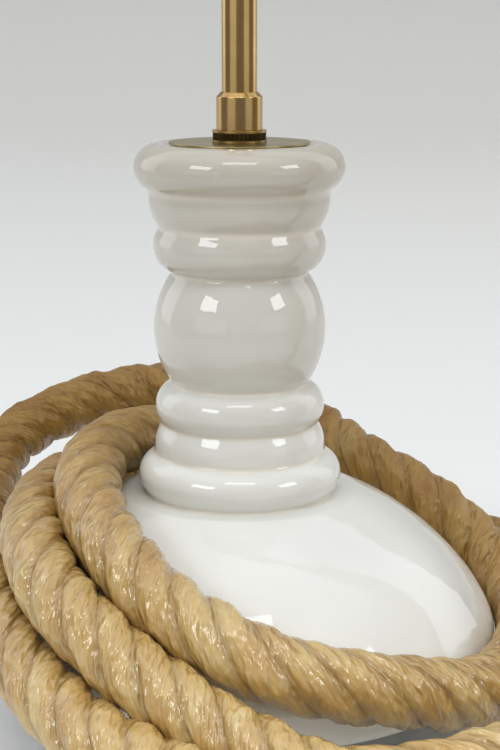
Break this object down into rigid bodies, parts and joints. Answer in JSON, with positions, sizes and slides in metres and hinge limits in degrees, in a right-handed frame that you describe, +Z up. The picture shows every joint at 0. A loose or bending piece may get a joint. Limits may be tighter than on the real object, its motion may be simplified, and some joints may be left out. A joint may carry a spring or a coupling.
{
  "type": "hanging lantern",
  "caption": "Glazed ceramic bell lantern with turned neck, brass stem, screw bulb and lampholder, hung on a thick rope laid in loops round it and ended in a ferrule with a ring.",
  "frame": {"origin": "centre of the ceramic body's rim, on the table that it stands on", "axes": "+Z up along the stem, -Y towards the camera, +X to the right in the picture"},
  "size_m": [0.2858, 0.4436, 0.409],
  "materials": {
    "glaze": "warm white gloss glaze",
    "polished_brass": "lightly aged turned brass",
    "dark_brass": "dark patinated brass",
    "plain_brass": "unfinished brass",
    "zinc_steel": "zinc plated",
    "bulb_metal": "bright pressed metal",
    "black_rubber": "matt black",
    "porcelain": "unglazed white porcelain",
    "opal_glass": "opal, diffusing",
    "white_plastic": "fine matt moulding",
    "insulator_glass": "black glass",
    "led_phosphor": "yellow phosphor gel",
    "brown_core": "brown insulation",
    "blue_core": "blue insulation",
    "green_yellow_core": "green and yellow insulation",
    "rope": "waxed laid fibre rope"
  },
  "bodies": {
    "lantern": {"ceramic_body": "glaze", "cover_disc": "polished_brass", "stem_coupler": "polished_brass", "stem_tube": "polished_brass", "rope_socket": "polished_brass", "end_ferrule": "polished_brass", "lock_ring": "dark_brass", "holder_cap": "dark_brass", "holder_body": "dark_brass", "threaded_rod": "plain_brass", "thread_shell": "plain_brass", "centre_contact": "plain_brass", "terminal_1": "plain_brass", "terminal_2": "plain_brass", "terminal_3": "plain_brass", "steel_washer": "zinc_steel", "clamp_nut": "zinc_steel", "holder_lock_nut": "zinc_steel", "terminal_screw_1": "zinc_steel", "terminal_screw_2": "zinc_steel", "terminal_screw_3": "zinc_steel", "socket_screw_1": "zinc_steel", "socket_screw_2": "zinc_steel", "socket_screw_3": "zinc_steel", "ferrule_screw_1": "zinc_steel", "ferrule_screw_2": "zinc_steel", "ferrule_screw_3": "zinc_steel", "eye_bolt": "zinc_steel", "eye_nut": "zinc_steel", "soft_washer": "black_rubber", "rubber_washer": "black_rubber", "flex_sheath": "black_rubber", "flex_gland": "black_rubber", "porcelain_core": "porcelain", "live_core": "brown_core", "neutral_core": "blue_core", "earth_core": "green_yellow_core", "rope_hanging_run": "rope", "rope_loops": "rope"},
    "bulb": {"bulb_tip": "bulb_metal", "bulb_insulator": "insulator_glass", "bulb_cap": "bulb_metal", "bulb_collar": "white_plastic", "bulb_globe": "opal_glass", "led_board": "white_plastic", "led_1": "led_phosphor", "led_2": "led_phosphor", "led_3": "led_phosphor", "led_4": "led_phosphor", "led_5": "led_phosphor", "led_6": "led_phosphor"},
    "ring": {"hanging_ring": "zinc_steel"}
  },
  "joints": [
    {"name": "bulb_turn", "type": "hinge", "parent": "lantern", "child": "bulb", "pos_m": [0, 0, 0.08], "axis": [0, 0, -1], "range_deg": [0, 1080]},
    {"name": "hanging_ring_swing", "type": "hinge", "parent": "lantern", "child": "ring", "pos_m": [0.028, 0.243, 0.0131], "axis": [1, 0, 0], "range_deg": [0, 110]}
  ]
}
